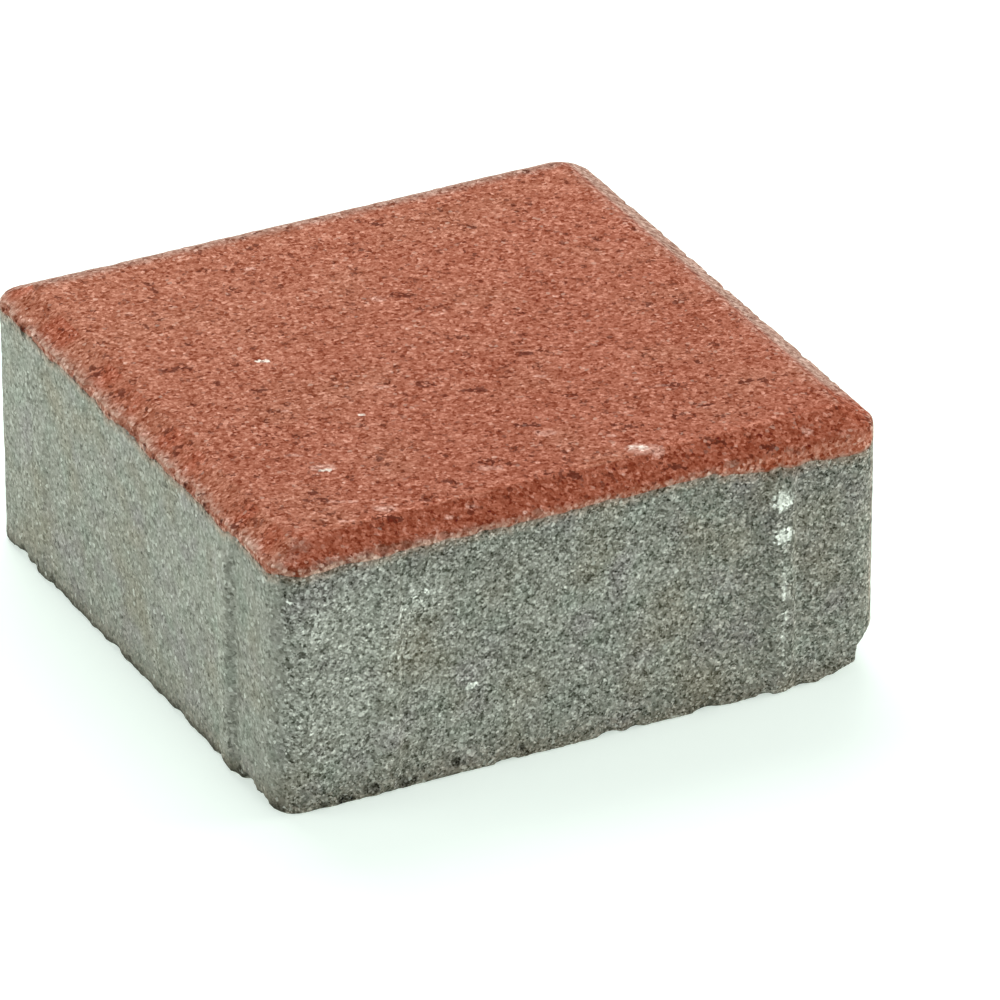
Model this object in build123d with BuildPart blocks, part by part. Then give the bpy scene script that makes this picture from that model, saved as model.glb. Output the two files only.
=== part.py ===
"""Square concrete paving stone: a grey base concrete under a red face layer.

All sizes are in millimetres. +Z is up and the stone lies on its bed face. The origin is the
centre of the bed face, and X and Y run along its sides.
"""
from build123d import *
from math import atan, degrees
import os

# The stone's body
side_length = 138.0
overall_height = 60.0
corner_radius = 7.0

# The red face layer and the bevel round its wearing face
face_thickness = 5.0
bevel_run = 6.8
bevel_drop = 3.6
wearing_corner_radius = 2.0

# The upright spacer ribs, two on each side
sides = 4
rib_from_corner = 24.0
rib_foot_width = 7.0
rib_tip_width = 4.0
rib_depth = 1.5
rib_edge_radius = 0.8
rib_head_slope = 3.0
rib_gap_to_face_layer = 2.5
rib_root = 3.0

# Sizes worked out from the driving ones
base_height = overall_height - face_thickness
bevel_foot_height = overall_height - bevel_drop
wearing_side = side_length - 2 * bevel_run
rib_offset = side_length / 2 - rib_from_corner
rib_top = base_height - rib_gap_to_face_layer
rib_shoulder = rib_top - rib_head_slope
rib_head_angle = degrees(atan(rib_depth / rib_head_slope))

# One rib's section, seen from above: it stands off the side in +X, with its rounded tip
# outside the side face and its root buried in the stone.
with BuildSketch() as rib_section:
    with BuildLine():
        Polyline(
            (-rib_root, -rib_foot_width / 2),
            (0, -rib_foot_width / 2),
            (rib_depth, -rib_tip_width / 2),
            (rib_depth, rib_tip_width / 2),
            (0, rib_foot_width / 2),
            (-rib_root, rib_foot_width / 2),
            close=True,
        )
    make_face()
    fillet(rib_section.vertices().group_by(Axis.X)[-1], radius=rib_edge_radius)

# The grey base concrete: a rounded square block, with the ribs cast on its four sides. Each
# rib runs up from the bed face and dies away into the side below the face layer.
with BuildPart() as base_concrete:
    with BuildSketch():
        RectangleRounded(side_length, side_length, corner_radius)
    extrude(amount=base_height)
    with BuildSketch() as rib_plan:
        with PolarLocations(side_length / 2, sides):
            with Locations((0, -rib_offset), (0, rib_offset)):
                add(rib_section.sketch)
    extrude(amount=rib_shoulder)
    with BuildSketch(Plane.XY.offset(rib_shoulder)):
        add(rib_plan.sketch)
    extrude(amount=rib_head_slope, taper=rib_head_angle)

base_concrete.part.label = "base_concrete"

# The red face layer: a thin upright edge, then the bevel, which narrows the stone to its
# flat wearing face.
with BuildPart() as face_layer:
    with BuildSketch(Plane.XY.offset(base_height)):
        RectangleRounded(side_length, side_length, corner_radius)
    extrude(amount=face_thickness - bevel_drop)
    with BuildSketch(Plane.XY.offset(bevel_foot_height)):
        RectangleRounded(side_length, side_length, corner_radius)
    with BuildSketch(Plane.XY.offset(overall_height)):
        RectangleRounded(wearing_side, wearing_side, wearing_corner_radius)
    loft()

face_layer.part.label = "face_layer"

os.makedirs("parts", exist_ok=True)
export_step(base_concrete.part, "parts/base_concrete.step")
export_step(face_layer.part, "parts/face_layer.step")
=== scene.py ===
"""The looks of the square concrete paving stone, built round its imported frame.

Lengths are in millimetres until a mesh is made, when they become metres. The stone's skin is
made whole, as rings round its sides and a square grid on each face. It is roughened, pitted and
chipped as one surface, and then split where the red face layer meets the grey base.
"""
import math

import bpy
import numpy as np
from mathutils import Matrix, Vector, kdtree, noise


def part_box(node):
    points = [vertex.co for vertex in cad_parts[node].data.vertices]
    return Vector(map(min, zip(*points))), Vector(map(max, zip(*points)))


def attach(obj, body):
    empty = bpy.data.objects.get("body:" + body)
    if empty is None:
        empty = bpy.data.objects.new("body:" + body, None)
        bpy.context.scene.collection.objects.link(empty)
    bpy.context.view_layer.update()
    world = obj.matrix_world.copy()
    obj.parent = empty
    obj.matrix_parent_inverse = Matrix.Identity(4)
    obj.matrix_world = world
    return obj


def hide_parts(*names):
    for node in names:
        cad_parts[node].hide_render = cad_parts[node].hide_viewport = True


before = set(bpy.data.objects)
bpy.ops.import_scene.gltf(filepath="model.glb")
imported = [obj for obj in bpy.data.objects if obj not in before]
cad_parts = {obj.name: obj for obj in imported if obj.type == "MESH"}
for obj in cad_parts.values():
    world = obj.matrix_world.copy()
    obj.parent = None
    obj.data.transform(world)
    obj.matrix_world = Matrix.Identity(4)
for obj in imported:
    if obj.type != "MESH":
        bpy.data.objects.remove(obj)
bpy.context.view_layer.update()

MM = 0.001

# Sizes read from the frame
_, base_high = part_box("base_concrete")
face_low, face_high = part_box("face_layer")
side_length = (face_high[0] - face_low[0]) / MM
overall_height = face_high[2] / MM
joint_height = face_low[2] / MM
rib_depth = (base_high[0] - face_high[0]) / MM

# Sizes that the frame doesn't give by its boxes
corner_radius = 7.0
wearing_corner_radius = 2.0
bevel_run = 6.8
bevel_drop = 3.6
rib_from_corner = 24.0
rib_foot_width = 7.0
rib_tip_width = 4.0
rib_head_slope = 3.0
rib_gap_to_face_layer = 2.5

rib_offset = side_length / 2 - rib_from_corner
rib_top = joint_height - rib_gap_to_face_layer
wearing_side = side_length - 2 * bevel_run
bevel_foot_height = overall_height - bevel_drop
half_side = side_length / 2

# The wavy line where the red layer ends: how far it lies above the joint, its waves' height,
# length and seed, and its sag towards the front right corner
seam_rise = 0.55
seam_waves = ((0.7, 9.0, 1), (0.6, 2.2, 2))
seam_sag = 3.4
sag_from, sag_to = 18.0, 58.0
sag_run_on_right = 40.0
seam_drop_on_front = 0.4
seam_drop_on_left = 1.1
seam_gap_to_bevel = 0.2

# How much of the ribs' depth wear has left: the left side's back rib and the front's left rib
# have lost most, and all of them are worn at the foot
depth_of_left_back_rib = 0.35
depth_of_front_left_rib = 0.7
depth_of_other_ribs = 0.95
depth_at_foot = 0.6
foot_wear_height = 8.0

# How finely the skin is divided
arc_steps = 8
corner_steps = 20
rib_steps = 28
middle_steps = 148
rib_band = 4.5
bevel_rows = 12
edge_rows = 4
wall_rows = 72

# The four sides, in the order that a ring meets them
front_side, right_side, back_side, left_side = range(4)

rng = np.random.default_rng(20)
seed_strides = (31.7, 17.3, 7.9)


# The skin's points and faces

def side_stations():
    """Stations along one side: beyond -1 and 1 they lie on the corner arcs, up to the diagonal."""
    run = half_side - corner_radius
    stops = (-run, -rib_offset - rib_band, -rib_offset + rib_band,
             rib_offset - rib_band, rib_offset + rib_band, run)
    steps = (corner_steps, rib_steps, middle_steps, rib_steps, corner_steps)
    line = [np.linspace(a, b, n, endpoint=False) / run for a, b, n in zip(stops, stops[1:], steps)]
    arc = np.linspace(-2, -1, arc_steps, endpoint=False)
    end = np.linspace(1, 2, arc_steps, endpoint=False)
    return np.concatenate([arc, *line, end])


stations = side_stations()
per_side = len(stations)
per_ring = 4 * per_side


def ring(width, radius):
    """One turn round a rounded square, anticlockwise from above, from the front left corner."""
    run = width / 2 - radius
    straight = np.clip(stations, -1, 1)
    turn = (stations - straight) * math.pi / 4
    along = straight * run + radius * np.sin(turn)
    out = run + radius * np.cos(turn)
    sides = []
    for quarter in range(4):
        c, s = math.cos(quarter * math.pi / 2), math.sin(quarter * math.pi / 2)
        sides.append(np.stack([along * c + out * s, along * s - out * c], 1))
    return np.concatenate(sides)


def outward():
    """The sides' outward direction at each station of a ring."""
    turn = (stations - np.clip(stations, -1, 1)) * math.pi / 4
    sides = []
    for quarter in range(4):
        angle = turn + (quarter - 1) * math.pi / 2
        sides.append(np.stack([np.cos(angle), np.sin(angle)], 1))
    return np.concatenate(sides)


def coons_grid(outline):
    """A square grid of points stretched inside a closed ring, with its own edge left in place."""
    n = per_side
    front, right = outline[:n + 1], outline[n:2 * n + 1]
    back = outline[2 * n:3 * n + 1][::-1]
    left = np.concatenate([outline[3 * n:], outline[:1]])[::-1]
    share = (front[:, 0] - front[0, 0]) / (front[-1, 0] - front[0, 0])
    u, v = share[:, None, None], share[None, :, None]
    sides = (1 - v) * front[:, None] + v * back[:, None] + (1 - u) * left[None] + u * right[None]
    corners = ((1 - u) * (1 - v) * front[0] + u * (1 - v) * front[-1]
               + (1 - u) * v * back[0] + u * v * back[-1])
    return sides - corners


def grid_indices(ring_start, inner_start):
    """Indices of a grid whose edge is a ring and whose inner points are stored on their own."""
    n = per_side
    table = np.empty((n + 1, n + 1), int)
    table[1:-1, 1:-1] = inner_start + np.arange((n - 1) ** 2).reshape(n - 1, n - 1)
    steps = np.arange(n + 1)
    table[:, 0] = steps
    table[-1, :] = n + steps
    table[::-1, -1] = 2 * n + steps
    table[0, ::-1] = (3 * n + steps) % per_ring
    edge = np.ones_like(table, bool)
    edge[1:-1, 1:-1] = False
    table[edge] += ring_start
    return table


def ring_quads(lower, upper):
    """Quads between two rings given by their first indices."""
    k = np.arange(per_ring)
    after = (k + 1) % per_ring
    return np.stack([lower + k, lower + after, upper + after, upper + k], 1)


def grid_quads(table):
    """Quads of a grid, facing up."""
    return np.stack([table[:-1, :-1], table[1:, :-1], table[1:, 1:], table[:-1, 1:]], -1).reshape(-1, 4)


def coarse_bed(outline, ring_start, inner_start):
    """Points and faces of a flat grid half as fine as the ring round it, facing down.

    The cells along the ring meet its in-between points by triangles, which are kept as quads
    with their last index twice.
    """
    n, half = per_side, per_side // 2
    inner = coons_grid(outline)[::2, ::2][1:-1, 1:-1].reshape(-1, 3)
    steps = 2 * np.arange(half + 1)
    table = np.empty((half + 1, half + 1), int)
    table[:, 0] = steps
    table[-1, :] = n + steps
    table[::-1, -1] = 2 * n + steps
    table[0, ::-1] = (3 * n + steps) % per_ring
    table += ring_start
    table[1:-1, 1:-1] = inner_start + np.arange((half - 1) ** 2).reshape(half - 1, half - 1)
    faces = grid_quads(table[1:-1, 1:-1])[:, ::-1].tolist()
    for i in range(half):
        for j in range(half):
            if 0 < i < half - 1 and 0 < j < half - 1:
                continue
            corners = [table[i, j], table[i + 1, j], table[i + 1, j + 1], table[i, j + 1]]
            loop = []
            for here, after in zip(corners, corners[1:] + corners[:1]):
                loop.append(int(here))
                if max(here, after) < inner_start:
                    first, second = here - ring_start, after - ring_start
                    turn = (second - first + per_ring) % per_ring
                    loop.append(int(ring_start + (first + (1 if turn == 2 else -1)) % per_ring))
            start = max(range(len(loop)), key=lambda k: loop[k])
            loop = loop[start:] + loop[:start]
            faces += [[loop[0], b, a, a] for a, b in zip(loop[1:], loop[2:])]
    return inner, np.array(faces)


def noise_field(points, size, seed, octaves=3):
    """Smooth noise of about -1 to 1, with lumps about size millimetres across."""
    shift = Vector([seed * stride for stride in seed_strides])
    return np.array([noise.fractal(Vector(p) / size + shift, 1.0, 2.0, octaves) for p in points.tolist()])


def seam_heights(outline):
    """Height of the wavy line where the red layer ends, at each station of a ring."""
    flat = np.column_stack([outline, np.zeros(per_ring)])
    height = np.full(per_ring, joint_height + seam_rise)
    for amount, size, seed in seam_waves:
        height += amount * noise_field(flat, size, seed)
    front = np.arange(per_side)
    slide = np.clip((outline[front, 0] - sag_from) / (sag_to - sag_from), 0, 1)
    height[front] -= seam_sag * slide * slide * (3 - 2 * slide)
    height[front] -= seam_drop_on_front
    right = right_side * per_side + front
    fade = np.clip(1 - (outline[right, 1] + half_side) / sag_run_on_right, 0, 1)
    height[right] -= seam_sag * fade * fade
    left = left_side * per_side + front
    height[left] -= seam_drop_on_left * np.clip(0.2 + 1.5 * noise_field(flat[left], 9.0, 21, 2), 0, 1)
    return np.minimum(height, bevel_foot_height - seam_gap_to_bevel)


def rib_bulge(height):
    """How far the ribs stand out at each station of a ring at these heights."""
    run = half_side - corner_radius
    along = np.tile(np.clip(stations, -1, 1) * run, 4)
    flank = (rib_foot_width - rib_tip_width) / 2
    near = np.abs(np.abs(along) - rib_offset)
    section = np.clip((rib_foot_width / 2 - near) / flank, 0, 1)
    head = np.clip((rib_top - height) / rib_head_slope, 0, 1)
    side = np.repeat(np.arange(4), per_side)
    first_rib = along < 0
    kept = np.select([(side == left_side) & first_rib, (side == front_side) & first_rib],
                     [depth_of_left_back_rib, depth_of_front_left_rib], depth_of_other_ribs)
    foot = depth_at_foot + (1 - depth_at_foot) * np.clip(height / foot_wear_height, 0, 1)
    return rib_depth * section * head * kept * foot


def build_skin():
    """All points and quads of the stone's skin, and the index where the grey base starts."""
    top = ring(wearing_side, wearing_corner_radius)
    wall = ring(side_length, corner_radius)
    out = outward()
    seam = seam_heights(wall)
    rings = []
    for step in range(bevel_rows + 1):
        t = step / bevel_rows
        height = np.full(per_ring, overall_height - t * bevel_drop)
        rings.append(np.column_stack([top + t * (wall - top), height]))
    for step in range(1, edge_rows + 1):
        height = bevel_foot_height + (seam - bevel_foot_height) * step / edge_rows
        rings.append(np.column_stack([wall, height]))
    seam_row = len(rings) - 1
    for step in range(1, wall_rows + 1):
        height = seam * (1 - step / wall_rows)
        rings.append(np.column_stack([wall + out * rib_bulge(height)[:, None], height]))
    count = len(rings)
    inner = (per_side - 1) ** 2
    top_grid = coons_grid(rings[0])[1:-1, 1:-1].reshape(-1, 3)
    bed_grid, bed = coarse_bed(rings[-1], (count - 1) * per_ring, count * per_ring + inner)
    points = np.concatenate(rings + [top_grid, bed_grid])
    quads = [ring_quads((row + 1) * per_ring, row * per_ring) for row in range(count - 1)]
    red = [grid_quads(grid_indices(0, count * per_ring))] + quads[:seam_row]
    grey = quads[seam_row:] + [bed]
    return points, np.concatenate(red), np.concatenate(grey), seam_row * per_ring


points, red_quads, grey_quads, seam_start = build_skin()
all_quads = np.concatenate([red_quads, grey_quads])
plain = points.copy()
seam_ring = np.arange(seam_start, seam_start + per_ring)


# Rounding, roughness, pits and chips

def relax(points, passes):
    """Rounds the arrises a little, by moving each point towards the middle of its neighbours."""
    pairs = np.concatenate([all_quads[:, [a, (a + 1) % 4]] for a in range(4)])
    a, b = pairs[:, 0], pairs[:, 1]
    weight = np.bincount(a, minlength=len(points)).astype(float)
    for _ in range(passes):
        middle = np.stack([np.bincount(a, points[b, axis], len(points)) for axis in range(3)], 1)
        points = 0.5 * points + 0.5 * middle / weight[:, None]
    return points


def vertex_normals(points):
    """Unit normals of the skin at its points."""
    p = points[all_quads]
    face = np.cross(p[:, 2] - p[:, 0], p[:, 3] - p[:, 1])
    total = np.zeros_like(points)
    for corner in range(4):
        for axis in range(3):
            total[:, axis] += np.bincount(all_quads[:, corner], face[:, axis], len(points))
    return total / np.linalg.norm(total, axis=1, keepdims=True)


relax_passes = 3
bed_reach = 0.6

points = relax(points, relax_passes)
normals = vertex_normals(points)
is_red = np.zeros(len(points), bool)
is_red[red_quads] = True
on_bed = points[:, 2] < bed_reach

# What the materials read from the skin. Each mask runs from 0 to 1 or a little more, but the
# painted shading is how much lighter or darker the colour gets: painted light and shade.
mask_names = ("pit", "pale", "painted_shading", "edge", "seam", "bevel", "bloom", "grime", "fade", "under",
              "scuff", "flat_light", "warm")
masks = {name: np.zeros(len(points)) for name in mask_names}
tree = kdtree.KDTree(len(points))
for index, point in enumerate(points.tolist()):
    tree.insert(point, index)
tree.balance()


def stamp(mask, centre, radius, strength=1.0):
    """Adds a soft spot to a mask and returns the points that it covers, with its strength there."""
    spots = []
    for _, index, distance in tree.find_range(centre, radius):
        fall = strength * (1 - (distance / radius) ** 2)
        mask[index] = max(mask[index], fall)
        spots.append((index, fall))
    return spots


# The skin's roughness: height, size of the lumps, seed and octaves
roughness = ((0.10, 30.0, 3, 2), (0.09, 5.0, 4, 3), (0.07, 1.6, 5, 2))
crumble_height = 1.6
crumble_depth = 0.25
crumble_size = 2.6
facing_down = -0.9
seam_lift_limit = 0.25

lift = np.zeros(len(points))
for amount, size, seed, octaves in roughness:
    lift += amount * noise_field(points, size, seed, octaves)
crumble = np.clip(1 - points[:, 2] / crumble_height, 0, 1) * (normals[:, 2] > facing_down)
lift -= crumble * (crumble_depth + crumble_depth * noise_field(points, crumble_size, 6))


def pit(centre, radius, depth, darkness):
    """A small hollow in the skin, darkened inside."""
    for index, fall in stamp(masks["pit"], centre, radius, darkness):
        lift[index] -= depth * fall / darkness


def scatter_pits(weights, count, radii, depth_share, darkness):
    """Pits at random points of the skin, chosen by weight, mostly small ones."""
    for index in rng.choice(len(points), count, p=weights / weights.sum()):
        radius = radii[0] + (radii[1] - radii[0]) * rng.random() ** 3
        pit(points[index], radius, radius * depth_share * (0.6 + 0.6 * rng.random()), darkness)


# More pits on the front half of the wearing face and near the walls' foot
foot_zone = 12.0
top_weight = is_red * (1.0 + 0.6 * np.clip(-points[:, 1] / half_side, 0, 1))
wall_weight = (~is_red & ~on_bed) * (1.0 + 1.5 * np.clip(1 - points[:, 2] / foot_zone, 0, 1))
bed_weight = on_bed.astype(float)
scatter_pits(top_weight, 360, radii=(0.6, 1.4), depth_share=0.28, darkness=0.75)
scatter_pits(wall_weight, 260, radii=(0.5, 1.1), depth_share=0.24, darkness=0.35)
scatter_pits(bed_weight, 450, radii=(1.3, 3.2), depth_share=0.3, darkness=0.9)
lift[seam_ring] = np.clip(lift[seam_ring], -seam_lift_limit, seam_lift_limit)
points = points + normals * lift[:, None]


scoop_roughness = 0.12
scoop_lumps = 1.5


def scoop(centre, radius):
    """Breaks out what lies inside a rough ball, whose centre is outside the stone."""
    away = points - centre
    distance = np.linalg.norm(away, axis=1)
    hit = np.nonzero(distance < radius * 1.2)[0]
    rough = np.array([noise.noise(Vector(p) / scoop_lumps) for p in points[hit].tolist()])
    target = radius * (1 + scoop_roughness * rough)
    inside = distance[hit] < target
    hit, target = hit[inside], target[inside]
    points[hit] = centre + away[hit] * (target / distance[hit])[:, None]
    masks["edge"][hit] = 1.0


def chip_edge(position, out, depth, radius):
    """A chip in an arris: position is on it, out points away from the stone."""
    out = np.asarray(out, float) / np.linalg.norm(out)
    scoop(np.asarray(position, float) + out * (radius - depth), radius)


def chip_round_ring(height, upwards, count, depths, width):
    """Random chips round the stone at one height, turned upwards, or downwards if below 0."""
    outline, out = ring(side_length, corner_radius), outward()
    for k in rng.integers(0, per_ring, count):
        depth = depths[0] + (depths[1] - depths[0]) * rng.random() ** 3
        radius = depth * width * (0.7 + 0.8 * rng.random())
        tilt = upwards * (0.5 + rng.random())
        chip_edge((*outline[k], height), (out[k, 0], out[k, 1], tilt), depth, radius)


chip_round_ring(0.0, upwards=-1.0, count=50, depths=(0.2, 1.1), width=3.0)
chip_round_ring(bevel_foot_height, upwards=0.5, count=150, depths=(0.15, 0.8), width=3.5)


break_lumps = 3.0
break_margin = 1.0


def break_off(direction, planes, rough):
    """Breaks off what lies beyond all the planes, by moving it back along one direction."""
    direction = np.asarray(direction, float) / np.linalg.norm(direction)
    beyond = np.full(len(points), np.inf)
    for point, normal in planes:
        normal = np.asarray(normal, float) / np.linalg.norm(normal)
        beyond = np.minimum(beyond, (points - np.asarray(point)) @ normal / (normal @ direction))
    hit = np.nonzero(beyond > -break_margin)[0]
    bumps = noise_field(points[hit], break_lumps, 8)
    move = np.maximum(beyond[hit] + rough * bumps, 0)
    points[hit] -= direction * move[:, None]
    masks["edge"][hit[move > 0]] = 1.0


# The broken front right corner: an upright break, cut off above by a slanted one, and the foot
# below it. across_x and across_y are the picture's level direction, in which this corner reaches
# furthest to the right.
across_x, across_y = 0.894, -0.448
corner_loss = 3.7
corner_loss_below = 3.2
break_shoulder = 6.0
corner_out = np.array([across_x, across_y, 0.0])
corner_reach = (half_side - corner_radius) * (across_x - across_y) + corner_radius
corner_face = corner_out * (corner_reach - corner_loss)
break_off(corner_out, [(corner_face, (across_x, across_y, -0.05)),
                       (corner_face + np.array([0, 0, break_shoulder]), (0.613, -0.307, -0.727))], 0.5)
corner_foot = corner_out * (corner_reach - corner_loss_below) + np.array([0, 0, corner_loss_below])
break_off((0.32, -0.16, -0.93), [(corner_foot, (0.32, -0.16, -0.93))], 0.4)

# Chips at the left foot, along the left bevel's foot (y, depth and size), and at the front's foot
# (x, height, depth and size)
left_bevel_chips = ((52.5, 0.9, 2.2), (20.5, 0.8, 4.0), (0.0, 1.3, 6.0), (-11.0, 0.7, 1.8),
                    (-27.5, 1.0, 4.0), (-36.0, 0.7, 1.6), (-50.0, 0.8, 3.5))
front_foot_chips = ((-55.3, 1.1, 0.7, 1.8), (-48.7, 2.0, 0.6, 1.8), (-42.0, 1.6, 0.8, 2.2),
                    (-29.8, 3.2, 0.5, 1.6), (-14.6, 2.7, 0.5, 1.6))
chip_edge((-half_side, -54.0, 0.0), (-1.0, 0.0, -0.7), 2.4, 5.0)
chip_edge((-half_side, -59.5, 0.0), (-1.0, -0.1, -1.0), 1.8, 4.5)
for place, depth, size in left_bevel_chips:
    chip_edge((-half_side, place, bevel_foot_height), (-1.0, 0.0, 0.4), depth, size)
for place, height, depth, size in front_foot_chips:
    chip_edge((place, -half_side, height), (0.0, -1.0, 0.2), depth, size)
points[:, 2] = np.maximum(points[:, 2], 0.0)


# Marks that the photograph shows, at their places on the stone

def mark(name, spots, strength=1.0):
    """Soft spots on one mask, each given as x, y, z and radius."""
    for x, y, z, radius in spots:
        stamp(masks[name], (x, y, z), radius, strength)


streak_spots = 9


def streaks(name, places, radius, strength=1.0):
    """Thin streaks on the wearing face and its bevel, each given as x, y and half its length."""
    for x, y, reach in places:
        for t in np.linspace(-reach, reach, streak_spots):
            over = max(abs(x), abs(y)) - wearing_side / 2
            height = overall_height - bevel_drop / bevel_run * max(over, 0.0)
            stamp(masks[name], (x + across_x * t, y + across_y * t, height), radius, strength)


front, left = -half_side, -half_side

# Lime and scuffs on the front: two on its right rib, a dash on its left half, and specks near its
# left corner
mark("scuff", ((44.6, front - 1.4, 45.8, 3.2), (44.8, front - 1.4, 37.6, 2.9)))
mark("scuff", ((-26.7, front, 20.0, 0.9), (-26.0, front, 20.1, 0.9), (-25.5, front, 20.6, 0.8)), 1.6)
mark("scuff", ((-58.4, front, 49.0, 1.2), (-60.7, front, 44.8, 1.9), (-63.7, front, 43.1, 1.3),
               (-66.2, -67.6, 48.7, 1.1)), 0.55)
mark("scuff", ((-35.8, front, 44.6, 2.6), (-36.2, front, 42.2, 2.2)), 0.42)

# Pale grit, worn places and dark hollows of the wearing face
streaks("scuff", ((-34.6, 9.0, 1.1), (-44.0, -39.4, 0.9), (-26.9, -21.6, 0.2)), 0.75)
streaks("scuff", ((16.6, -60.0, 1.3),), 1.8, 0.6)
streaks("pale", ((17.6, -61.0, 1.7),), 3.0, 1.3)
streaks("pale", ((-43.8, -38.2, 1.5), (-40.8, -59.6, 1.5), (19.0, -62.3, 1.2), (52.2, -66.1, 0.4),
                 (-19.0, 47.1, 0.6), (-0.7, 22.7, 0.6), (-14.0, -53.9, 1.6), (2.7, -45.7, 1.4)), 1.7, 0.9)
streaks("pale", ((-47.0, -53.1, 2.8), (-49.6, -60.7, 1.3), (-23.6, -64.7, 1.0), (-28.7, -65.9, 1.0),
                 (-18.0, -12.5, 1.2), (13.2, -23.2, 0.8), (-40.2, -12.8, 0.3), (-46.6, -30.8, 1.0),
                 (33.6, -38.2, 1.0), (14.2, -53.1, 0.6), (-67.3, -3.7, 0.8)), 0.9)
streaks("fade", ((-61.9, -64.0, 1.0), (-65.5, -64.8, 1.0), (-43.8, -38.3, 1.0),
                 (-40.8, -59.6, 0.8)), 3.0, 0.5)
streaks("pit", ((4.1, 22.1, 1.5), (6.0, -0.4, 1.5), (-9.0, -16.0, 1.5), (-2.0, -22.3, 2.0),
                (14.2, 53.5, 1.2), (-53.5, 14.0, 1.0), (-50.5, 13.6, 1.0), (-41.0, -2.0, 1.0),
                (14.8, -12.9, 1.0), (1.0, -41.0, 2.0), (-12.8, -51.6, 2.6), (19.3, -50.6, 2.8),
                (31.0, -52.0, 1.8), (51.0, -45.0, 1.8), (36.3, -39.3, 1.2), (37.1, -49.8, 1.0),
                (15.0, -34.0, 1.0), (-24.4, -55.2, 1.4), (0.3, -63.4, 2.6), (-50.9, -50.1, 2.0),
                (-41.5, -62.8, 2.2), (20.7, -66.8, 2.6), (33.0, -64.3, 2.4), (42.8, -67.6, 1.4),
                (-65.6, 22.5, 1.5), (-65.6, 12.0, 1.5), (-63.8, -15.3, 2.0), (-67.5, -47.5, 1.5),
                (-64.3, 42.3, 1.5)), 1.3, 0.9)

# Dark hollows of the walls, and painted shadow in the crumbs at the front's and the left's foot and
# in the gaps under the red layer on the left
mark("pit", ((left, 37.7, 11.9, 1.6), (-26.5, front, 8.7, 1.2), (-62.3, front, 27.5, 1.1),
             (-13.2, front, 24.0, 1.1), (left, 52.5, 54.5, 1.6), (left, -11.0, 55.5, 1.2),
             (left, -36.0, 55.0, 1.4)))
mark("under", ((-59.3, front, 1.2, 1.7), (-55.3, front, 1.1, 2.0), (-53.4, front, 1.1, 1.6),
               (-50.0, front, 2.2, 1.5), (-47.8, front, 2.4, 1.6), (-42.6, front, 2.9, 1.4),
               (-40.8, front, 1.4, 1.8), (-38.9, front, 1.8, 1.4), (-29.6, front, 3.4, 1.6),
               (-26.2, front, 7.6, 0.9), (-14.6, front, 2.7, 1.1)), 0.9)
mark("under", ((left, -50.0, 2.0, 2.4), (left, 40.0, 2.0, 2.4), (left, 47.0, 2.5, 2.0),
               (left, 3.0, 1.5, 2.0)), 0.9)
mark("under", ((left, 52.8, 55.5, 1.6), (left, 27.0, 55.8, 1.2), (left, 22.7, 55.0, 1.3),
               (left, 9.8, 55.5, 1.1), (left, -6.4, 55.6, 1.3), (left, -25.5, 56.0, 1.2),
               (left, -34.7, 56.0, 1.3), (left, -42.6, 56.0, 1.1)), 0.9)

# Lime bloom on the front's upper left, and dirt at its foot and its right
mark("bloom", ((-50.0, front, 40.0, 19.0), (-57.0, front, 24.0, 18.0), (-35.5, front, 44.5, 8.0),
               (-60.0, front, 42.0, 10.0)))
mark("grime", ((24.0, front, 4.0, 12.0), (34.0, front, 5.0, 10.0), (60.0, front, 20.0, 16.0),
               (left, 60.0, 4.0, 9.0)), 0.6)

# Uneven pale lines: one down the front's right rib, and a slanted scratch on the front's left
rib_line_spots = 46
scratch_spots = 18
for step in range(rib_line_spots):
    height = 36.0 - 0.72 * step
    stamp(masks["scuff"], (45.0, front - rib_depth, height), 0.9, 0.20 + 0.5 * rng.random() ** 2)
for step in range(scratch_spots):
    t = step / (scratch_spots - 1)
    stamp(masks["scuff"], (-44.4 + 5.4 * t, front, 39.5 + 4.8 * t), 1.1, 0.34 + 0.35 * rng.random())


# Painted light and shade and stains of the walls

wall_ring = ring(side_length, corner_radius)
wall_rows_all = np.arange(bevel_rows, bevel_rows + edge_rows + wall_rows + 1)
wall_index = (wall_rows_all[:, None] * per_ring + np.arange(per_ring)).ravel()
wall_column = wall_index % per_ring
wall_side = wall_column // per_side
wall_x, wall_y, wall_z = plain[wall_index].T
seam_height = seam_heights(wall_ring)[wall_column]
arc_turn = np.clip(np.abs(np.tile(stations, 4))[wall_column] - 1, 0, 1)


def rise(value, low, high):
    """0 below low, 1 above high, and even in between."""
    return np.clip((value - low) / (high - low), 0, 1)


def line(value, middle, width):
    """A soft line: 1 at its middle, fading over its width."""
    return np.exp(-((value - middle) / width) ** 2)


on_front, on_left = wall_side == front_side, wall_side == left_side
at_right_corner = (wall_x > 0) & (wall_y < 0)

# Painted shading of the walls, how much lighter or darker each part is: painted shade on the
# upright corners and a painted rim of light on the front right one, darker towards the foot, a
# painted shadow band under the red layer, and the ribs' painted lit and unlit flanks
tones = (
    (1.0, np.where(at_right_corner, 0.06, -0.12) * rise(arc_turn, 0.0, 0.8)),
    (-0.07, rise(-wall_z, -7.0, -2.0)),
    (-0.10, on_front * rise(wall_z, 40.0, 48.0)),
    (-0.07, on_front * rise(wall_x, 45.0, 50.0)),
    (0.07, on_left * rise(wall_z, 16.0, 34.0)),
    (-0.04, on_left * rise(-wall_z, -9.0, -6.0)),
    (0.05, on_left * rise(wall_y, 28.0, 56.0)),
    (-0.06, on_left * rise(-wall_y, 50.0, 62.0)),
    (-0.09, on_front * line(wall_x, 39.8, 1.7)),
    (0.10, on_front * line(wall_x, -48.0, 2.5)),
    (-0.13, on_left * line(wall_y, -48.3, 1.7)),
    (0.18, on_left * line(wall_y, -44.2, 1.5)),
    (0.10, on_left * line(wall_y, -40.5, 2.2)),
)
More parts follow.
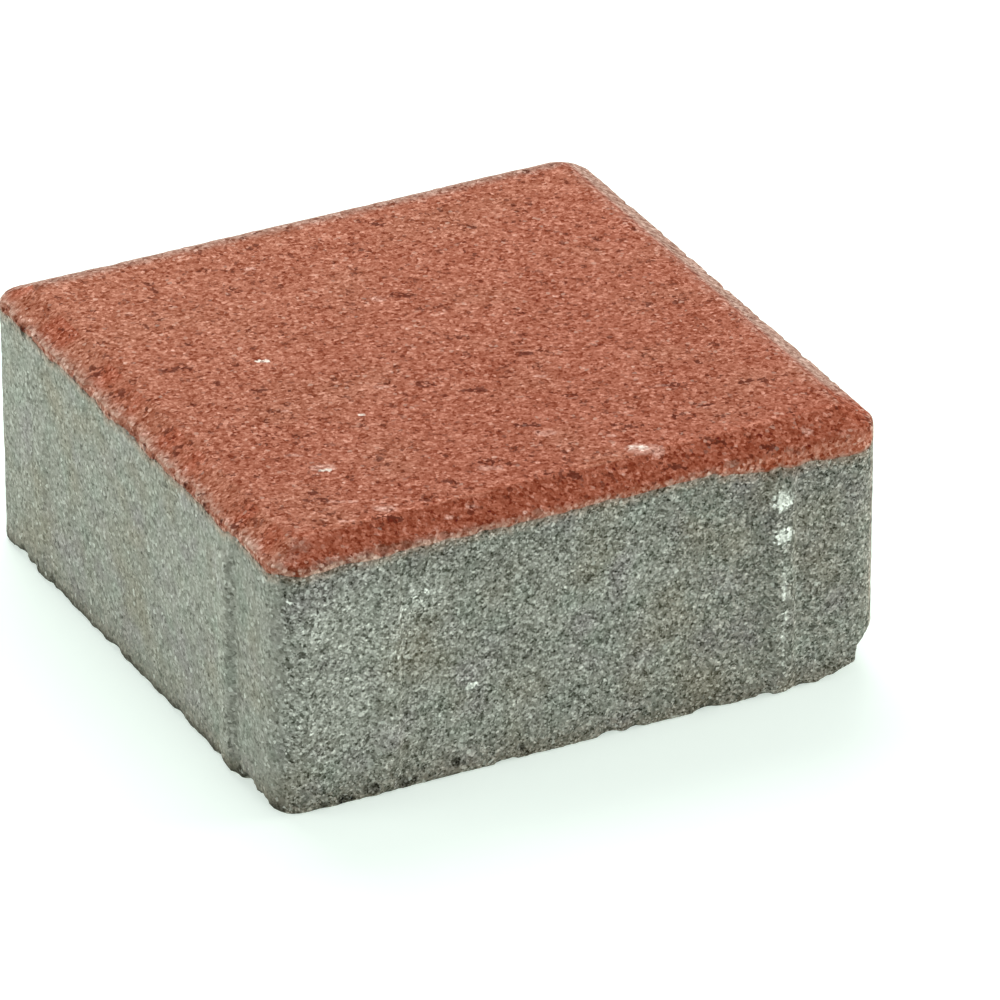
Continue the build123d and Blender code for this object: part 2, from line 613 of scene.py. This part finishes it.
masks["painted_shading"][wall_index] = sum(amount * where for amount, where in tones)

# Red dust round the seam and a painted rim of light down the front right corner, dirt at the foot
# and on the front's right, and painted shadow at the foot
seam_dust_reach = 3.6
masks["seam"][wall_index] = np.maximum(
    rise(seam_dust_reach - np.abs(seam_height - wall_z), 0.0, seam_dust_reach),
    0.6 * at_right_corner * rise(arc_turn, 0.4, 1.0))
dirt = np.maximum(0.94 * rise(-wall_z, -13.0, -1.0), 0.58 * on_front * rise(wall_x, -5.0, 25.0))
masks["grime"][wall_index] = np.maximum(masks["grime"][wall_index], dirt)
foot_shadow = np.where(on_left, 0.75, 0.1) * rise(-wall_z, -4.0, -1.0)
masks["under"][wall_index] = np.maximum(masks["under"][wall_index], foot_shadow)
# The left side below the red layer, where the grain is painted plainer because the light falls flat
masks["flat_light"][wall_index] = on_left & (wall_z < seam_height)


# Painted light and shade and stains of the red layer

# How pale the bevel's foot is, partly worn and partly a painted highlight on its rounded edge, and
# the painted shading of the bevel and of the edge below it, each in the order of the sides
fringe_strength = np.array([0.9, 0.9, 0.8, 1.2])
painted_bevel_shading = np.array([-0.05, -0.12, -0.10, -0.02])
painted_edge_shading = np.array([0.0, -0.10, -0.05, -0.16])
fringe_rows = 6.0
fringe_rows_on_left = 9.0

# The fringe is patchy, fades towards the front's right, and reaches higher on the left. The right
# and back bevels are pale all over: a painted sheen where they are seen at a grazing angle.
ring_side = np.arange(per_ring) // per_side
patches = noise_field(np.column_stack([wall_ring, np.zeros(per_ring)]), 8.0, 9, 2)
fringe = fringe_strength[ring_side] * np.clip(0.9 + 0.5 * patches, 0, 1)
fringe[:per_side] *= np.clip(1.1 - (wall_ring[:per_side, 0] + 50.0) / 80.0, 0.5, 1.1)
fringe_start = bevel_rows - np.where(ring_side == left_side, fringe_rows_on_left, fringe_rows)
painted_sheen_right = (ring_side == right_side) * rise(wall_ring[:, 1], -66.0, -50.0)
foot_ring = np.arange(bevel_rows * per_ring, (bevel_rows + 1) * per_ring)
bevel_patches = np.clip(0.6 + 1.2 * noise_field(plain[foot_ring], 11.0, 12, 2), 0.1, 1)
bevel_patches = np.where(ring_side == left_side, bevel_patches, 1.0)
for row in range(bevel_rows + edge_rows + 1):
    band = np.arange(row * per_ring, (row + 1) * per_ring)
    low = rise(row, fringe_start, bevel_rows + 1.0) ** 1.5
    low = low * np.where((ring_side == left_side) & (row > bevel_rows), 0.5, 1.0)
    painted_bevel_sheen = np.maximum(painted_sheen_right * rise(row, -2.0, bevel_rows - 7.0),
                      (ring_side == back_side) * (0.9 - 0.35 * rise(row, 1.0, bevel_rows)))
    masks["fade"][band] = np.maximum(masks["fade"][band], np.maximum(fringe * low, painted_bevel_sheen))
    masks["bevel"][band] = bevel_patches if row else 0.0
bevel_index = np.arange(per_ring, (bevel_rows + 1) * per_ring)
edge_index = np.arange((bevel_rows + 1) * per_ring, (bevel_rows + edge_rows + 1) * per_ring)
bevel_side = bevel_index % per_ring // per_side
edge_side = edge_index % per_ring // per_side
masks["painted_shading"][bevel_index] = painted_bevel_shading[bevel_side]
masks["painted_shading"][edge_index] = painted_edge_shading[edge_side]
masks["warm"][bevel_index] = 0.9 * (bevel_side == left_side)

# The wearing face: a painted highlight along its front arris, painted shade along its back one,
# a little painted light towards the back, and worn pale along its back and right ones
on_top = 0.01
wearing = np.nonzero(is_red & (plain[:, 2] > overall_height - on_top))[0]
wearing_half = wearing_side / 2
top_x, top_y = plain[wearing, 0], plain[wearing, 1]
masks["painted_shading"][wearing] = (0.03 * rise(top_y, 0.0, 50.0)
                           + 0.12 * rise(-top_y, wearing_half - 1.8, wearing_half - 0.6)
                           - 0.16 * rise(top_y, wearing_half - 4.0, wearing_half))
masks["warm"][wearing] = rise(top_y - top_x, -100.0, 110.0)
worn_arris = np.maximum(0.9 * rise(top_y, wearing_half - 5.0, wearing_half),
                        0.5 * rise(top_x, wearing_half - 4.0, wearing_half))
masks["fade"][wearing] = np.maximum(masks["fade"][wearing], worn_arris)


# The two pieces

joint_inset = 2.0


def make_piece(name, quads, faces_down):
    """A closed mesh of one concrete: its share of the skin, and a hidden flat joint face."""
    used, local = np.unique(quads, return_inverse=True)
    local = local.reshape(quads.shape)
    where = {index: k for k, index in enumerate(used.tolist())}
    rim = np.array([where[index] for index in seam_ring.tolist()])
    inset = np.column_stack([ring(side_length - 2 * joint_inset, corner_radius - joint_inset),
                             np.full(per_ring, joint_height)])
    start = len(used)
    coordinates = np.concatenate([points[used], inset]) * MM
    k = np.arange(per_ring)
    after = (k + 1) % per_ring
    band = np.stack([rim[k], rim[after], start + after, start + k], 1)
    cap = start + k
    if faces_down:
        band, cap = band[:, ::-1], cap[::-1]
    mesh = bpy.data.meshes.new(name)
    skin = [face[:3] if face[2] == face[3] else face for face in local.tolist()]
    faces = skin + band.tolist() + [cap.tolist()]
    mesh.from_pydata(coordinates.tolist(), [], faces)
    for key, values in masks.items():
        attribute = mesh.attributes.new(key, "FLOAT", "POINT")
        attribute.data.foreach_set("value", np.concatenate([values[used], np.zeros(per_ring)]))
    mesh.shade_smooth()
    mesh.update()
    piece = bpy.data.objects.new(name, mesh)
    bpy.context.scene.collection.objects.link(piece)
    return piece


red_layer = make_piece("red_face_layer", red_quads, True)
grey_base = make_piece("grey_base_concrete", grey_quads, False)


# Materials

matte = 0.92
sheen = 0.12
display_gamma = 2.2
darkest = (0.1, 0.1, 0.1)

# Sizes of the sand's grains, of the lumps that it gathers in, and of the relief that catches light
fine_grain = 0.42
coarse_grain = 0.74
sand_lumps = 1.3
sand_clusters = 3.2
relief_lumps = 0.9
relief_depth = 0.22

# How much plainer the grain's tones are on the left side, painted so because the soft light falls
# on it flat and shows little relief there
flat_light_mottling = 0.24
flat_light_specks = 0.70


class Finish:
    """A procedural material: short calls that add nodes and return their outputs."""

    def __init__(self, name):
        self.material = bpy.data.materials.new(name)
        self.material.use_nodes = True
        self.tree = self.material.node_tree
        self.shader = self.tree.nodes["Principled BSDF"]
        self.shader.inputs["Roughness"].default_value = matte
        self.shader.inputs["Specular IOR Level"].default_value = sheen
        coordinates = self.tree.nodes.new("ShaderNodeTexCoord")
        scale = self.tree.nodes.new("ShaderNodeVectorMath")
        scale.operation = "SCALE"
        scale.inputs["Scale"].default_value = 1 / MM
        self.tree.links.new(coordinates.outputs["Object"], scale.inputs[0])
        self.place = scale.outputs[0]

    def put(self, value, socket):
        """Links an output to a socket, or sets the socket to a plain value."""
        if isinstance(value, bpy.types.NodeSocket):
            self.tree.links.new(value, socket)
        else:
            socket.default_value = value

    def math(self, operation, a, b=0.0):
        node = self.tree.nodes.new("ShaderNodeMath")
        node.operation = operation
        self.put(a, node.inputs[0])
        self.put(b, node.inputs[1])
        return node.outputs[0]

    def noise(self, size, detail=2.0, rough=0.5):
        """Smooth noise from 0 to 1, with lumps of this size."""
        node = self.tree.nodes.new("ShaderNodeTexNoise")
        node.inputs["Scale"].default_value = 1 / size
        node.inputs["Detail"].default_value = detail
        node.inputs["Roughness"].default_value = rough
        self.put(self.place, node.inputs["Vector"])
        return node.outputs[0]

    def grains(self, size):
        """Three random numbers for each sand grain of this size."""
        node = self.tree.nodes.new("ShaderNodeTexVoronoi")
        node.inputs["Scale"].default_value = 1 / size
        self.put(self.place, node.inputs["Vector"])
        split = self.tree.nodes.new("ShaderNodeSeparateColor")
        self.put(node.outputs["Color"], split.inputs[0])
        return split.outputs[0], split.outputs[1], split.outputs[2]

    def ramp(self, value, low, high):
        """0 below low, 1 above high, and eased in between."""
        node = self.tree.nodes.new("ShaderNodeMapRange")
        node.interpolation_type = "SMOOTHSTEP"
        self.put(value, node.inputs["Value"])
        node.inputs["From Min"].default_value = low
        node.inputs["From Max"].default_value = high
        return node.outputs[0]

    def mix(self, share, a, b):
        """One colour changed by a share towards another."""
        node = self.tree.nodes.new("ShaderNodeMix")
        node.data_type = "RGBA"
        self.put(share, node.inputs[0])
        self.put(a, node.inputs[6])
        self.put(b, node.inputs[7])
        return node.outputs[2]

    def add(self, a, b):
        return self.math("ADD", a, b)

    def tails(self, value, factor):
        """A random number from its middle, with few strong grains and many faint ones."""
        away = self.scaled(value, 1.0)
        return self.scaled(self.math("MULTIPLY", away, self.math("ABSOLUTE", away)), 2 * factor, 0.0)

    def scaled(self, value, factor, middle=0.5):
        """A value's distance from its middle, times a factor."""
        node = self.tree.nodes.new("ShaderNodeMath")
        node.operation = "MULTIPLY_ADD"
        self.put(value, node.inputs[0])
        node.inputs[1].default_value = factor
        node.inputs[2].default_value = -middle * factor
        return node.outputs[0]

    def mask(self, name):
        node = self.tree.nodes.new("ShaderNodeAttribute")
        node.attribute_name = name
        return node.outputs["Fac"]

    def together(self, operation, a, b):
        """A vector operation, alike on red, green and blue."""
        node = self.tree.nodes.new("ShaderNodeVectorMath")
        node.operation = operation
        self.put(a, node.inputs[0])
        self.put(b, node.inputs[1])
        return node.outputs[0]

    def gamma(self, colour, power):
        node = self.tree.nodes.new("ShaderNodeGamma")
        self.put(colour, node.inputs["Color"])
        node.inputs["Gamma"].default_value = power
        return node.outputs[0]

    def brightness(self, colour, factor):
        node = self.tree.nodes.new("ShaderNodeVectorMath")
        node.operation = "SCALE"
        self.put(colour, node.inputs[0])
        self.put(factor, node.inputs["Scale"])
        return node.outputs[0]

    def ragged(self, mask, edges, low, high):
        """A mask's share with a ragged edge, shifted by each noise times its amount."""
        share = self.mask(mask)
        for value, amount in edges:
            share = self.add(share, self.scaled(value, amount))
        return self.ramp(share, low, high)

    def plainer(self, value, mask, amount):
        """A value made smaller by this amount where the mask is 1."""
        return self.math("MULTIPLY", value, self.add(self.scaled(mask, -amount, 0.0), 1.0))

    def finish(self, colour, height, depth):
        """Connects the colour and the relief, whose depth is in millimetres."""
        self.put(colour, self.shader.inputs["Base Color"])
        bump = self.tree.nodes.new("ShaderNodeBump")
        bump.inputs["Strength"].default_value = 1.0
        bump.inputs["Distance"].default_value = depth * MM
        self.put(height, bump.inputs["Height"])
        self.put(bump.outputs[0], self.shader.inputs["Normal"])
        return self.material


def srgb(red, green, blue):
    """A linear colour from its display values of 0 to 255."""
    linear = [((v / 255 + 0.055) / 1.055) ** 2.4 for v in (red, green, blue)]
    return (*linear, 1.0)


def concrete(name, look):
    """Sandy coloured concrete: mottled, with dark hollows, pale grit and worn arrises.

    The grain's tones are added as the eye sees them, alike in red, green and blue.
    """
    finish = Finish(name)
    fine, _, _ = finish.grains(fine_grain)
    coarse, darker, paler = finish.grains(coarse_grain)
    sand = finish.noise(sand_lumps, 2.0, 0.6)
    cluster = finish.noise(sand_clusters, 1.0, 0.5)

    # The body colour, its tints, stains, painted light and shade, and pale patches
    colour = look["body"]
    for tint, size, low, high in look["tints"]:
        colour = finish.mix(finish.ramp(finish.noise(size, 1.0), low, high), colour, tint)
    for mask, tint, low, high, rough in look["stains"]:
        share = finish.ragged(mask, ((sand, rough), (coarse, 0.3 * rough)), low, high)
        colour = finish.mix(share, colour, tint)
    colour = finish.brightness(colour, finish.add(finish.mask("painted_shading"), 1.0))
    patch = finish.ragged("pale", ((sand, 1.2), (paler, 0.4)), 0.3, 1.1)
    colour = finish.mix(finish.scaled(patch, 0.85, 0.0), colour, look["pale"])
    scuff = finish.ragged("scuff", ((coarse, 0.5), (sand, 0.8)), 0.25, 0.9)
    colour = finish.mix(finish.scaled(scuff, 0.95, 0.0), colour, look["white"])

    # The grain: mottling and specks, in display tones, painted plainer where the light falls flat
    flat_light = finish.mask("flat_light")
    tone = finish.add(finish.tails(coarse, look["coarse"]), finish.scaled(sand, look["sand"]))
    tone = finish.add(tone, finish.scaled(cluster, look["cluster"]))
    tone = finish.plainer(tone, flat_light, flat_light_mottling)
    tone = finish.add(tone, finish.plainer(finish.tails(fine, look["fine"]), flat_light, flat_light_specks))
    colour = finish.together("ADD", finish.gamma(colour, 1 / display_gamma), tone)
    colour = finish.gamma(finish.together("MAXIMUM", colour, darkest), display_gamma)

    # Dark hollows, gathered in clusters and in the pits, and bright grit
    hollow = finish.add(darker, finish.scaled(cluster, -look["gather"]))
    hollow = finish.add(hollow, finish.scaled(sand, -0.6))
    hollow = finish.add(hollow, finish.scaled(finish.mask("pit"), 0.75, 0.0))
    hollow = finish.ramp(hollow, look["hollow"], look["hollow"] + 0.12)
    hollow_share = finish.add(finish.scaled(finish.mask("pit"), 0.35, 0.0), look["hollow_share"])
    colour = finish.mix(finish.math("MULTIPLY", hollow, hollow_share), colour, look["dark"])
    grit = finish.ramp(paler, look["grit"], look["grit"] + 0.06)
    colour = finish.mix(finish.scaled(grit, look["grit_share"], 0.0), colour, look["bright"])

    relief = finish.add(finish.scaled(finish.noise(relief_lumps, 1.0), 1.0), finish.scaled(sand, 0.8))
    relief = finish.math("SUBTRACT", relief, finish.scaled(hollow, 0.8, 0.0))
    return finish.finish(colour, relief, relief_depth)


# The looks of the two concretes. A tint has its colour, its patches' size, and the noise between
# which it sets in. A stain has its mask, its colour, the share between which it sets in, and how
# ragged its edge is. The other numbers are strengths of the grain, and where its tails begin.
# The under stains are painted shadow, the fade stain is partly a painted sheen and highlight, and the
# grey's seam stain is partly a painted rim of light
red = concrete("red_concrete", {
    "body": srgb(173, 103, 80),
    "tints": ((srgb(167, 96, 73), 9.0, 0.4, 0.75), (srgb(173, 110, 86), 20.0, 0.45, 0.8)),
    "stains": (("warm", srgb(178, 114, 89), 0.2, 1.4, 0.9), ("bevel", srgb(167, 90, 65), 0.3, 1.0, 0.9),
               ("seam", srgb(158, 116, 99), 0.6, 1.2, 0.6),
               ("fade", srgb(188, 154, 137), 0.2, 1.2, 0.5), ("edge", srgb(162, 104, 84), 0.6, 0.9, 0.9),
               ("under", srgb(84, 44, 32), 0.4, 0.9, 0.9)),
    "fine": 0.20, "coarse": 0.29, "sand": 0.20, "cluster": 0.07, "gather": 0.9,
    "hollow": 0.95, "hollow_share": 0.55, "dark": srgb(94, 34, 18),
    "grit": 0.965, "grit_share": 0.55, "bright": srgb(236, 204, 186),
    "pale": srgb(214, 160, 142), "white": srgb(238, 226, 212)})
grey = concrete("grey_concrete", {
    "body": srgb(142, 143, 133),
    "tints": ((srgb(137, 142, 131), 7.0, 0.4, 0.8), (srgb(140, 138, 133), 9.0, 0.45, 0.8),
              (srgb(138, 135, 121), 13.0, 0.45, 0.8)),
    "stains": (("seam", srgb(152, 131, 114), 0.2, 1.3, 0.6), ("bloom", srgb(161, 163, 153), 0.3, 1.3, 0.9),
               ("grime", srgb(118, 110, 96), 0.4, 1.3, 0.9), ("edge", srgb(128, 126, 116), 0.7, 1.1, 0.9),
               ("under", srgb(62, 60, 50), 0.3, 0.9, 0.9)),
    "fine": 0.46, "coarse": 0.30, "sand": 0.16, "cluster": 0.02, "gather": 0.5,
    "hollow": 0.95, "hollow_share": 0.55, "dark": srgb(62, 62, 52),
    "grit": 0.96, "grit_share": 0.6, "bright": srgb(232, 236, 226),
    "pale": srgb(186, 192, 180), "white": srgb(232, 236, 226)})

for piece, material, node, slot in ((red_layer, red, "face_layer", "red_concrete"),
                                    (grey_base, grey, "base_concrete", "grey_concrete")):
    piece.data.materials.append(material)
    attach(piece, "root")
    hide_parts(node)


# The camera: its direction in degrees, its distance and lens in millimetres, its reach in metres,
# and how many millimetres to the right of the stone's middle and below it the lens points

camera_azimuth = math.radians(-26.603)
camera_elevation = math.radians(28.346)
camera_roll = math.radians(-0.3596)
camera_distance = 2150.9
camera_lens = 372.54
camera_sensor = 36.0
camera_reach = 50
aim_right, aim_down = 14.0, 6.03


def bearing(azimuth, elevation):
    """The direction in which the front is at azimuth 0 and the right side at 90 degrees."""
    return Vector((math.sin(azimuth) * math.cos(elevation),
                   -math.cos(azimuth) * math.cos(elevation), math.sin(elevation)))


def add_camera():
    """A long lens that looks a little to the right of the stone's middle and below it."""
    back = bearing(camera_azimuth, camera_elevation)
    level = Vector((math.cos(camera_azimuth), math.sin(camera_azimuth), 0))
    upright = back.cross(level)
    right = level * math.cos(camera_roll) + upright * math.sin(camera_roll)
    up = upright * math.cos(camera_roll) - level * math.sin(camera_roll)
    middle = Vector((0, 0, overall_height / 2))
    place = (middle + back * camera_distance) * MM
    aim = (middle + right * aim_right - up * aim_down) * MM
    view = (place - aim).normalized()
    across = up.cross(view).normalized()
    camera = bpy.data.objects.new("camera", bpy.data.cameras.new("camera"))
    camera.data.lens = camera_lens
    camera.data.sensor_width = camera_sensor
    camera.data.clip_end = camera_reach
    camera.matrix_world = Matrix((across, view.cross(across), view)).transposed().to_4x4()
    camera.matrix_world.translation = place
    bpy.context.scene.collection.objects.link(camera)
    bpy.context.scene.camera = camera


add_camera()


# Floor and light

# Lengths here are in metres. The floor lies a hair below the stone, so that the two never share
# a plane.
floor_reach = 4.0
floor_gap = 0.00005
floor_colour = (0.70, 0.78, 0.735, 1)
floor_roughness = 0.9
floor_glow = (0.91, 1.0, 0.95, 1)
floor_glow_strength = 0.51
light_distance = 1.6
world_strength = 0.45

# Name, azimuth, elevation, size, power and colour
lights = (("key", 165, 50, 1.2, 16, (1.0, 1.0, 1.0)),
          ("fill_left", -112, 12, 0.7, 8.4, (0.96, 1.0, 0.96)),
          ("fill_front", 20, 20, 1.0, 1.5, (1.0, 1.0, 1.0)),
          ("fill_right", 78, 20, 0.8, 10, (1.0, 0.99, 0.95)))


def add_floor():
    """A plain pale floor, bright enough to look white under the soft light."""
    mesh = bpy.data.meshes.new("floor")
    corners = [(-floor_reach, -floor_reach), (floor_reach, -floor_reach),
               (floor_reach, floor_reach), (-floor_reach, floor_reach)]
    mesh.from_pydata([(x, y, -floor_gap) for x, y in corners], [], [(0, 1, 2, 3)])
    floor = bpy.data.objects.new("floor", mesh)
    material = bpy.data.materials.new("floor")
    material.use_nodes = True
    shader = material.node_tree.nodes["Principled BSDF"]
    shader.inputs["Base Color"].default_value = floor_colour
    shader.inputs["Roughness"].default_value = floor_roughness
    shader.inputs["Specular IOR Level"].default_value = 0.0
    shader.inputs["Emission Color"].default_value = floor_glow
    shader.inputs["Emission Strength"].default_value = floor_glow_strength
    mesh.materials.append(material)
    bpy.context.scene.collection.objects.link(floor)


def add_area(name, azimuth, elevation, size, power, colour):
    """A soft square light that faces the stone from this bearing."""
    back = bearing(math.radians(azimuth), math.radians(elevation))
    data = bpy.data.lights.new(name, "AREA")
    data.size = size
    data.energy = power
    data.color = colour
    light = bpy.data.objects.new(name, data)
    light.matrix_world = back.to_track_quat("Z", "Y").to_matrix().to_4x4()
    light.matrix_world.translation = back * light_distance
    bpy.context.scene.collection.objects.link(light)


add_floor()
for light in lights:
    add_area(*light)
world = bpy.data.worlds.new("studio")
world.use_nodes = True
world.node_tree.nodes["Background"].inputs["Color"].default_value = (1, 1, 1, 1)
world.node_tree.nodes["Background"].inputs["Strength"].default_value = world_strength
bpy.context.scene.world = world
bpy.context.scene.view_settings.view_transform = "Standard"
